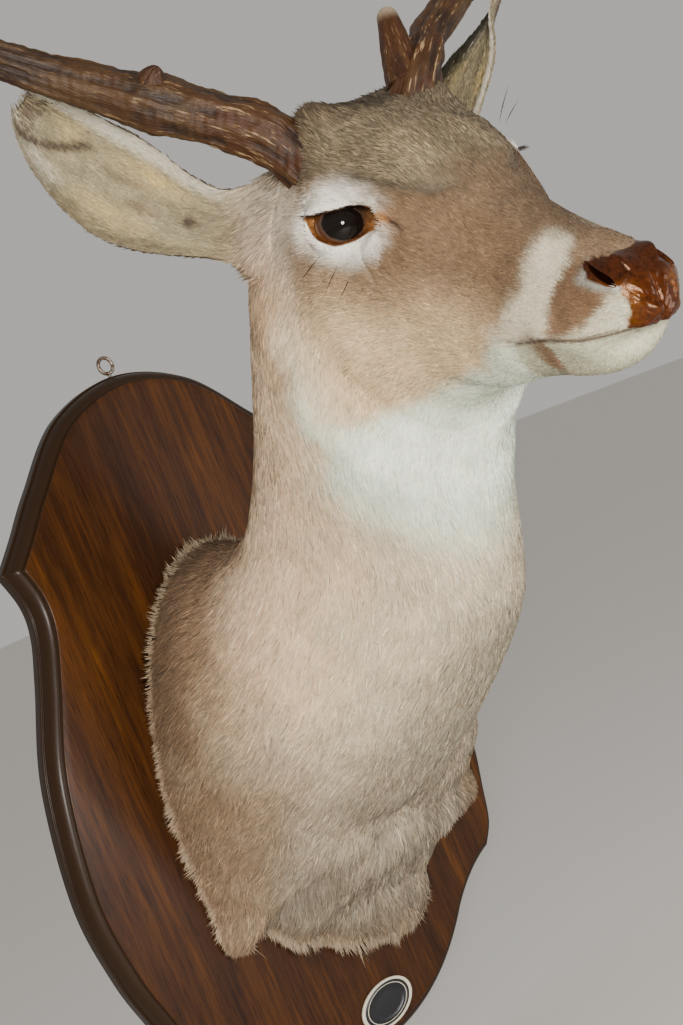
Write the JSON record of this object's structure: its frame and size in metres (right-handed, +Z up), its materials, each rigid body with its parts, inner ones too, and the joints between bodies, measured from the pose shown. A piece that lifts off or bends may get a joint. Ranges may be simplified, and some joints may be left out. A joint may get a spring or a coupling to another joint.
{
  "type": "deer shoulder mount",
  "caption": "White-tailed buck's head, neck and shoulders, head turned and antlered, fixed to a shield-shaped wooden wall board.",
  "frame": {"origin": "middle of the board's flat back, on the wall's surface, 294 mm below the top of its dome", "axes": "+Y into the wall, so the animal looks out along -Y; +Z up; +X to the right of someone who faces the wall"},
  "size_m": [0.552, 0.6559, 0.8636],
  "materials": {
    "coat_tan": "short tan and grey-brown hair",
    "coat_pale": "short white and cream hair",
    "ear_hair": "thin cream hair over skin inside, grey-brown outside",
    "glass_eye": "polished, near black with a brown rim",
    "nose_skin": "dark brown, glossy and finely pebbled",
    "antler": "grey-brown ridged bone, paler on the ridges and tips",
    "board_wood": "stained and varnished, vertical grain",
    "hanger_metal": "dull steel wire",
    "badge_enamel": "cream rim round a plain black field"
  },
  "bodies": {
    "root": {"head": "coat_tan", "lower_jaw": "coat_pale", "nose_pad": "nose_skin", "neck": "coat_tan", "shoulders": "coat_tan", "brisket": "coat_pale", "ear_right": "ear_hair", "ear_left": "ear_hair", "eye_right": "glass_eye", "eye_left": "glass_eye", "antler_right_base": "antler", "antler_right_beam_lower": "antler", "antler_right_beam_upper": "antler", "antler_right_beam_tip": "antler", "antler_right_brow_point": "antler", "antler_right_second_tine": "antler", "antler_right_third_tine": "antler", "antler_left_base": "antler", "antler_left_beam_lower": "antler", "antler_left_beam_upper": "antler", "antler_left_beam_tip": "antler", "antler_left_brow_tine": "antler", "antler_left_second_tine": "antler", "antler_left_third_tine": "antler", "board": "board_wood", "hanger_ring": "hanger_metal", "badge": "badge_enamel"}
  },
  "joints": []
}
